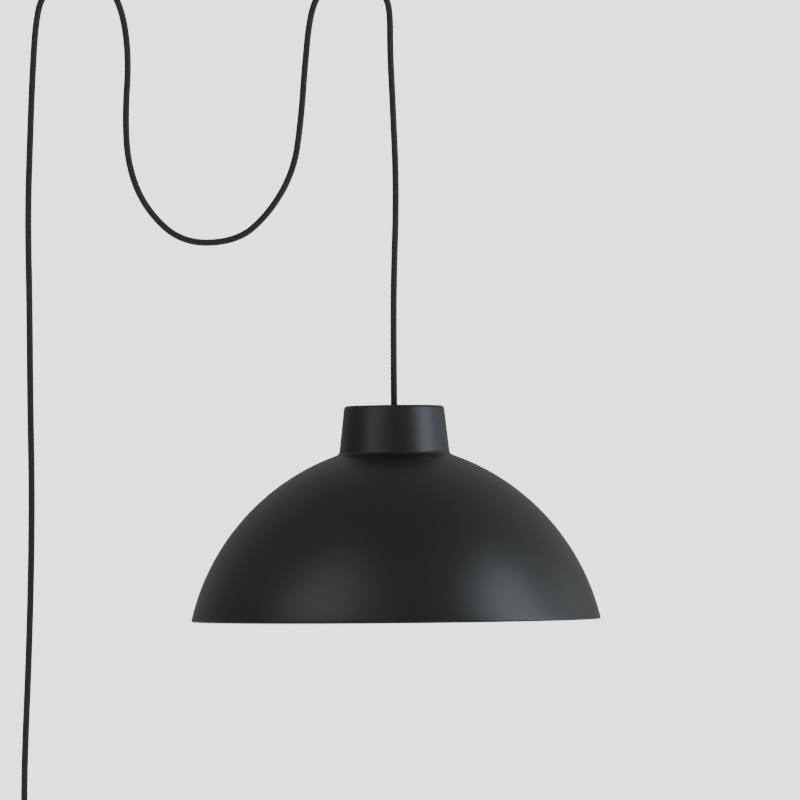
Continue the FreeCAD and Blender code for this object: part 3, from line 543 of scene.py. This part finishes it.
# ---------------------------------------------------------------- cords
LAMP_ROUTE = [
    (41.0, 0, -468.4), (40.6, 0, -424), (40.5, 0, -350), (43.4, 0, -259), (39.4, 0, -168), (37.1, 0, -122),
    (37.1, 0, -86), (33.6, 0, -69), (15.3, 0, -48.7), (-11.9, 0, -46.8), (-32.8, 0, -64.3),
    (-41.6, -0.5, -89), (-46.2, -2, -137), (-49.9, -4, -190), (-56.8, -6, -240), (-81.2, -7, -282),
    (-112.2, -8, -309), (-165.6, -8, -311), (-201.8, -6, -277), (-218.8, -4, -235), (-221.7, -3, -186),
    (-218.3, -2, -131), (-223.4, -1, -88), (-234.4, 0, -62.2), (-256.9, 0, -46.6), (-284.1, 0, -48.9),
    (-303.4, 0, -68), (-309.4, 1, -93), (-312.6, 3, -142), (-315.1, 5, -208), (-317.2, 5, -283),
    (-315.1, 2, -375), (-314.1, -2, -463), (-312.2, -4, -551), (-313, -3, -639), (-315.6, -1, -727),
    (-318.6, 0, -799), (-319.5, 0, -842), (-319.5, 0, -878),
]
LEAD_OUT_ROUTE = [(2, -11.8, 42.5), (17.5, -14, 33.5), (26, -17.5, 18), (26, -17.5, -6)]
COIL_LAYERS = [(OUTER_TURN, 1.1), (39.25, 2.3), (32.75, 2.3), (26.25, 2.3)]  # radius in mm, turns
COIL_START = 0.125  # turns from the coil's top to where the lead comes in
TURN_STEPS = 16
DRIFT = 6.8  # mm to each side of the coil's middle
DRIFT_STOPS = 0.3  # turns before the layer's end
CLIMB = 0.35  # turns in which a layer steps in to the next
UNEVEN = 0.35  # mm
UNEVEN_RATE = 14  # radians in a turn
OUT_TURNS = 0.82  # the last part of a turn, on which the lead leaves the coil
OUT_RADIUS = 43.0
OUT_WIDENS = 0.15
OUT_FORWARD = 6.7  # mm
OUT_FORWARD_FROM = 0.06
OUT_FORWARD_OVER = 0.32


def eased(share):
    """0 up to share 0, 1 from share 1 on, and a smooth rise between."""
    share = min(max(share, 0.0), 1.0)
    return share * share * (3 - 2 * share)


def on_ring(turned, radius, side):
    """A place on the coil, its angle counted clockwise from the coil's top in turns."""
    angle = TAU * turned
    return COIL + Vector((radius * math.sin(angle), side, radius * math.cos(angle))) * MM


def coil_turns():
    """Places on turns wound clockwise in layers, the outermost first, and how many turns they make.

    Each layer drifts to the coil's other side a cord's width per turn, then steps in to the next.
    """
    places = []
    before = 0.0
    for index, (radius, turns) in enumerate(COIL_LAYERS):
        target = DRIFT if index % 2 == 0 else -DRIFT
        begin = -target if index else 0.0
        deeper = COIL_LAYERS[index + 1][0] if index + 1 < len(COIL_LAYERS) else radius
        for step in range(round(before * TURN_STEPS), round((before + turns) * TURN_STEPS)):
            within = step / TURN_STEPS - before
            side = begin + (target - begin) * min(max(within, 0.0) / (turns - DRIFT_STOPS), 1.0)
            reach = radius + (deeper - radius) * eased((within - turns + CLIMB) / CLIMB)
            uneven = UNEVEN * math.sin(UNEVEN_RATE * step / TURN_STEPS)
            places.append(on_ring(COIL_START + step / TURN_STEPS, reach + uneven, side))
        before += turns
    return places, before


def plug_lead_route():
    """From the switch into the coil, round its turns, and out in front of it to the plug."""
    into = [SWITCH - Vector((0, 0, SHEATH_END)), LEAD_CORNER]
    turns, turned = coil_turns()
    inner = COIL_LAYERS[-1][0]
    out = []
    for step in range(round(OUT_TURNS * TURN_STEPS) + 1):
        share = step / TURN_STEPS
        radius = inner + (OUT_RADIUS - inner) * eased((share - OUT_WIDENS) / (OUT_TURNS - OUT_WIDENS))
        side = -DRIFT - OUT_FORWARD * eased((share - OUT_FORWARD_FROM) / OUT_FORWARD_OVER)
        out.append(on_ring(COIL_START + turned + share, radius, side))
    return into + turns + out + [COIL + Vector(place) * MM for place in LEAD_OUT_ROUTE]


def make_cords(braid):
    """The lamp cord, from the switch over both hooks to the head, and the plug's lead with its coil."""
    lamp_line = spline_points("lamp_cord", [Vector(place) * MM for place in LAMP_ROUTE[::-1]], 20)
    lamp_cord = tube("lamp_cord", lamp_line, CORD / 2, 20, [braid])
    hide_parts("drop_cord", "swag_cord")
    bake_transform(lamp_cord)
    lead_line = spline_points("plug_lead", plug_lead_route(), 6)
    plug_lead = tube("plug_lead", lead_line, CORD / 2, 20, [braid])
    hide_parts("coil_lead_in", "cord_coil", "coil_lead_out")
    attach(plug_lead, "mounting")
    print(f"lamp cord {length_of(lamp_line):.3f} m, plug lead {length_of(lead_line):.3f} m")


# ---------------------------------------------------------------- shade
# Millimetres: heights, then radii of the outline and of its curves, then the wall.
SHADE = {
    "height": 209.5, "neck_height": 47.2,
    "rim": 200.0, "neck_top": 48.8, "neck_base": 54.1, "hole": 5.2,
    "dome": 223.3, "edge": 3.5, "root": 5.0, "hem": 1.6,
    "wall": 1.0,
}


def shade_side(inset):
    """The shade's side from its top edge to its rim, moved in by the wall's thickness."""
    s = SHADE
    slope = math.atan2(s["neck_base"] - s["neck_top"], s["neck_height"])
    outward = Vector((math.cos(slope), math.sin(slope)))
    downward = Vector((math.sin(slope), -math.cos(slope)))
    base = Vector((s["neck_base"], -s["neck_height"]))
    rim = Vector((s["rim"], -s["height"]))
    half = (rim - base) / 2
    towards_centre = Vector((half.y, -half.x)).normalized()
    centre = base + half + towards_centre * math.sqrt(s["dome"] ** 2 - half.length ** 2)
    dome = s["dome"] - inset
    edge = s["edge"] - inset
    edge_reach = s["neck_top"] + math.tan(slope) * s["edge"] - s["edge"] / math.cos(slope)
    edge_centre = Vector((edge_reach, -s["edge"]))
    top_arc = arc(edge_centre, edge, 90, math.degrees(slope), 8)
    offset_base = base + outward * s["root"]
    toward = offset_base - centre
    along = toward.dot(downward)
    reach = s["dome"] + s["root"]
    slide = -along - math.sqrt(along ** 2 - toward.length_squared + reach ** 2)
    if slide < -s["neck_height"]:
        slide = -along + math.sqrt(along ** 2 - toward.length_squared + reach ** 2)
    root_centre = offset_base + downward * slide
    root = s["root"] + inset
    start = 180 + math.degrees(slope)
    facing = centre - root_centre
    finish = math.degrees(math.atan2(facing.y, facing.x)) % 360
    root_arc = arc(root_centre, root, start, finish, 10)
    from_centre = root_centre - centre
    first = math.degrees(math.atan2(from_centre.y, from_centre.x))
    last_level = -s["height"] + s["hem"] + (0.9 if inset else 0)
    last = math.degrees(math.asin((last_level - centre.y) / dome))
    return top_arc + root_arc + arc(centre, dome, first, last, 72)


def make_shade(coat, lining):
    """The whole shade in one piece, coated outside and lined inside, its rim rolled into a bead."""
    s = SHADE
    outside = shade_side(0)
    inside = shade_side(s["wall"])
    bead_centre = (outside[-1][0] - s["hem"], -s["height"] + s["hem"])
    bead = arc(bead_centre, s["hem"], -12, -215, 16)
    top = [(s["hole"], -s["wall"]), (s["hole"], 0)]
    profile = top + outside + bead + inside[::-1]
    split = len(top) + len(outside) + len(bead) // 2
    picks = [0 if index < split else 1 for index in range(len(profile))]
    shade = lathe("shade_shell", profile, [coat, lining], 256, picks=picks)
    smooth_by_angle(shade, 50)
    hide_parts("shade_neck", "shade_dome")
    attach(shade, "pendant")


# ---------------------------------------------------------------- stage, light
def pale(name, colour, glow, more_seen):
    """A plain pale floor that is clear from below, and glows a little, more to the eye than on the lamp."""
    made = Shader(name, colour, 0.9)
    made.set("Emission Color", (1.0, 1.0, 1.0, 1))
    seen = made.node("ShaderNodeLightPath").outputs["Is Camera Ray"]
    shine = made.math("MULTIPLY_ADD", seen, more_seen, glow)
    made.links.new(shine, made.surface.inputs["Emission Strength"])
    facing = made.node("ShaderNodeNewGeometry").outputs["Backfacing"]
    clear = made.node("ShaderNodeBsdfTransparent")
    mixed = made.node("ShaderNodeMixShader")
    made.links.new(facing, mixed.inputs[0])
    made.links.new(made.surface.outputs[0], mixed.inputs[1])
    made.links.new(clear.outputs[0], mixed.inputs[2])
    made.links.new(mixed.outputs[0], made.nodes["Material Output"].inputs["Surface"])
    return made.material


SEEN_GREY = (0.985, 0.99, 1.0, 1)
SEEN_STRENGTH = 2.5
ROOM_FRONT = 0.24
ROOM_TOP = 0.07
ROOM_BACK = 0.33
ROOM_RIGHT = 0.06


def smooth_range(nodes, links, source, values):
    """A smooth change with the source; values are from low, from high, to low, to high."""
    made = nodes.new("ShaderNodeMapRange")
    made.interpolation_type = "SMOOTHSTEP"
    links.new(source, made.inputs[0])
    for index, value in enumerate(values, 1):
        made.inputs[index].default_value = value
    return made.outputs[0]


def make_stage():
    """The floor, and a world that the camera sees as a pale wall and that lights the lamp as a dim room."""
    bpy.ops.mesh.primitive_circle_add(vertices=128, radius=4.5, fill_type="NGON", location=(0, 0, -1.25))
    floor = bpy.context.object
    floor.name = "floor"
    floor.data.materials.append(pale("pale_floor", (0.70, 0.70, 0.69), 0.45, 0.95))
    world = bpy.data.worlds.new("studio")
    bpy.context.scene.world = world
    world.use_nodes = True
    nodes = world.node_tree.nodes
    links = world.node_tree.links
    seen = nodes["Background"]
    seen.inputs["Color"].default_value = SEEN_GREY
    seen.inputs["Strength"].default_value = SEEN_STRENGTH
    direction = nodes.new("ShaderNodeTexCoord")
    split = nodes.new("ShaderNodeSeparateXYZ")
    links.new(direction.outputs["Generated"], split.inputs[0])
    behind = smooth_range(nodes, links, split.outputs[1], (-0.2, 0.8, ROOM_FRONT, ROOM_BACK))
    rightward = nodes.new("ShaderNodeMath")
    rightward.operation = "MULTIPLY_ADD"
    links.new(split.outputs[0], rightward.inputs[0])
    rightward.inputs[1].default_value = ROOM_RIGHT
    links.new(behind, rightward.inputs[2])
    upward = smooth_range(nodes, links, split.outputs[2], (0.1, 0.7, 0.0, ROOM_TOP))
    strength = nodes.new("ShaderNodeMath")
    strength.operation = "ADD"
    links.new(rightward.outputs[0], strength.inputs[0])
    links.new(upward, strength.inputs[1])
    lighting = nodes.new("ShaderNodeBackground")
    lighting.inputs["Color"].default_value = (1.0, 1.0, 0.98, 1)
    links.new(strength.outputs[0], lighting.inputs["Strength"])
    mixed = nodes.new("ShaderNodeMixShader")
    links.new(nodes.new("ShaderNodeLightPath").outputs["Is Camera Ray"], mixed.inputs[0])
    links.new(lighting.outputs[0], mixed.inputs[1])
    links.new(seen.outputs[0], mixed.inputs[2])
    links.new(mixed.outputs[0], nodes["World Output"].inputs["Surface"])


def add_light(name, direction, distance, width, height, power, colour):
    """A soft rectangular lamp in a direction from the shade, facing it."""
    data = bpy.data.lights.new(name, "AREA")
    data.shape = "RECTANGLE"
    data.size = width
    data.size_y = height
    data.energy = power
    data.color = colour
    lamp = bpy.data.objects.new(name, data)
    middle = ENTRY + Vector((0, 0, -0.12))
    lamp.location = middle + Vector(direction).normalized() * distance
    lamp.rotation_euler = (middle - lamp.location).to_track_quat("-Z", "Z").to_euler()
    bpy.context.scene.collection.objects.link(lamp)


def make_lights():
    add_light("window_right", (0.962, -0.25, 0.07), 2.8, 4.3, 1.7, 88, (0.80, 0.90, 1.0))
    add_light("window_far", (0.93, 0.36, 0.06), 2.8, 2.2, 1.5, 7, (0.80, 0.90, 1.0))
    add_light("lamp_left", (-0.66, -0.66, 0.52), 3.4, 2.7, 2.2, 28, (1.0, 0.98, 0.93))


# ---------------------------------------------------------------- small pieces
def make_bulb_cap(material):
    """The bulb's screw cap with its rolled thread, between four and five turns at the E27 pitch."""
    pitch = 3.63
    top, bottom = -68.4, -87.6
    outer, inner = 13.1, 12.3
    depth = 0.45
    run_out = 2.0

    def thread(angle, radius, level):
        if radius < 12.4 or level > top - 0.3 or level < bottom + 2.2:
            return radius
        fade = min(1.0, (top - level) / run_out, (level - bottom - run_out) / run_out)
        return radius - depth * fade * (1 - math.cos(TAU * (level / pitch - angle / TAU)))

    steps = 64
    skirt = [(outer, top + (bottom - top) * step / steps) for step in range(steps + 1)]
    profile = [(11.0, -66.5), (11.9, -66.9)] + skirt + [(inner, -88.0), (inner, -68.8), (10.9, -68.2)]
    cap = lathe("bulb_thread", profile, [material], 96, wave=thread)
    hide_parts("bulb_screw_cap")
    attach(cap, "bulb")


def make_relief(material):
    """The plug's strain relief: a taper with grooves cut into it so that it bends."""
    profile = [(3.3, 0.0), (4.0, 0.0), (4.4, -0.5)]
    groove_pitch = 2.7
    groove_depth = 0.9
    for groove in range(6):
        level = -2.0 - groove * groove_pitch
        widen = 4.4 + 1.6 * (-level / 20)
        floor = widen - groove_depth
        profile += [(widen, level), (widen, level - 0.2), (floor, level - 0.35), (floor, level - 1.05),
                    (widen, level - 1.2)]
    profile += [(6.0, -18.6), (6.0, -20.0), (1.0, -20.0), (1.0, -14.1), (3.3, -14.0)]
    relief = lathe("relief_ribs", profile, [material], 64, place=Matrix.Translation(PLUG))
    smooth_by_angle(relief, 40)
    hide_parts("cord_relief")
    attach(relief, "mounting")
    return relief


def make_tie(material):
    """The hook-and-loop strap round the coil, pulled snug, with its loose end lapped over itself."""
    angle = math.radians(62)
    outward = Vector((math.sin(angle), 0, math.cos(angle)))
    along = Vector((math.cos(angle), 0, -math.sin(angle)))
    toward = Vector((0, -1, 0))
    middle = COIL + outward * COIL_RADIUS
    half_out, half_side, corner = 13.6 * MM, 10.6 * MM, 5.5 * MM
    corners = [(half_side, -half_out, corner), (half_side, half_out, corner),
               (-half_side, half_out, corner), (-half_side, -half_out, corner)]
    loop = rounded(corners, 8)
    loop.append(loop[0])
    spacing = 1.2 * MM
    dense = []
    for first, second in zip(loop, loop[1:]):
        parts = max(1, round(math.dist(first, second) / spacing))
        dense += [tuple(Vector(first).lerp(Vector(second), part / parts)) for part in range(parts)]
    lap = 16
    count = len(dense) + lap
    thick = 1.1 * MM
    half_width = 6.0 * MM
    lap_rise = 1.08
    rise_steps = 6
    tip_steps = 5
    tip_narrows = 0.12
    verts = []
    faces = []
    uvs = []
    columns = 6
    for index in range(count):
        side, reach = dense[index % len(dense)]
        lapping = min(max((index - len(dense) + rise_steps) / rise_steps, 0.0), 1.0)
        rise = thick * lapping * lap_rise
        lift = Vector((side, reach)).normalized() * rise
        taper = 1.0 - tip_narrows * max(index - count + tip_steps, 0)
        for level in (0, thick):
            out = Vector((side, reach)) + lift + Vector((side, reach)).normalized() * level
            for column in range(columns + 1):
                across = (2 * column / columns - 1) * half_width * taper
                wave = 0.15 * MM * math.sin(index * 0.55 + column)
                verts.append(middle + toward * (out.x + wave) + outward * (out.y + wave) + along * across)
    row = 2 * (columns + 1)
    for index in range(count - 1):
        base, after = index * row, (index + 1) * row
        for level in (0, 1):
            for column in range(columns):
                first = base + level * (columns + 1) + column
                second = after + level * (columns + 1) + column
                quad = (first, second, second + 1, first + 1)
                faces.append(quad if level == 0 else quad[::-1])
                u0, u1 = column / columns, (column + 1) / columns
                v0, v1 = index * spacing, (index + 1) * spacing
                pairs = [(u0, v0), (u0, v1), (u1, v1), (u1, v0)]
                uvs += pairs if level == 0 else pairs[::-1]
        for column, order in ((0, 1), (columns, -1)):
            low, high = base + column, base + columns + 1 + column
            quad = (low, high, after + columns + 1 + column, after + column)
            faces.append(quad[::order])
            uvs += [(0.5, 0)] * 4
    for index, order in ((0, 1), (count - 1, -1)):
        base = index * row
        for column in range(columns):
            faces.append((base + column, base + column + 1, base + columns + 2 + column,
                          base + columns + 1 + column)[::order])
            uvs += [(0.5, 0)] * 4
    tie = new_piece("tie_strap", verts, faces, [material], uvs)
    weld(tie)
    smooth_by_angle(tie, 45)
    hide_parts("coil_tie")
    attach(tie, "mounting")
    return tie


# ---------------------------------------------------------------- make everything
def paint(material, *names):
    """Gives CAD pieces that are shown as they are their material."""
    for name in names:
        mesh = NODES[name].data
        mesh.materials.clear()
        mesh.materials.append(material)


def main():
    add_camera()
    braid = textile_braid()
    moulding = moulded_black("switch_black", 0.34)
    make_bulb_cap(nickel())
    ends = [make_tie(hook_and_loop()), make_relief(moulding), "plug_body", "plug_pins"]
    make_cords(braid)
    make_shade(powder_coat(), white_lining())
    paint(rubber(), "cord_bush")
    paint(zinc(), "hanger_cup", "hollow_nipple", "nipple_locknut", "grip_screw", "terminal_screws",
          "main_hook_screws", "side_hook_screws", "switch_screws", "rocker_axle")
    paint(moulded_black("moulded_black", 0.50), "cord_grip", "holder_cap", "holder_body")
    paint(steatite(), "holder_insert")
    paint(brass(), "thread_shell", "centre_contact", "live_terminal", "neutral_terminal", "bulb_contact",
          "fixed_contacts", "rocker_contact", "plug_pins")
    paint(vitrite(), "bulb_insulator")
    paint(white_plastic(), "bulb_housing")
    paint(opal(), "bulb_globe")
    paint(board("board_white", (0.78, 0.78, 0.74), (0.70, 0.70, 0.66)), "led_board")
    paint(board("board_green", (0.04, 0.16, 0.07), (0.03, 0.12, 0.05)), "led_driver")
    paint(insulation("brown_core", (0.13, 0.05, 0.02)), "live_core", "switched_cores")
    paint(insulation("blue_core", (0.02, 0.07, 0.26)), "neutral_core", "through_core")
    paint(braid, "cord_inner_end")
    paint(stoved_black(), "main_hook_plate", "main_hook_rod", "side_hook_plate", "side_hook_rod")
    paint(moulding, "switch_cover", "switch_base", "rocker", "plug_body")
    make_stage()
    make_lights()


main()
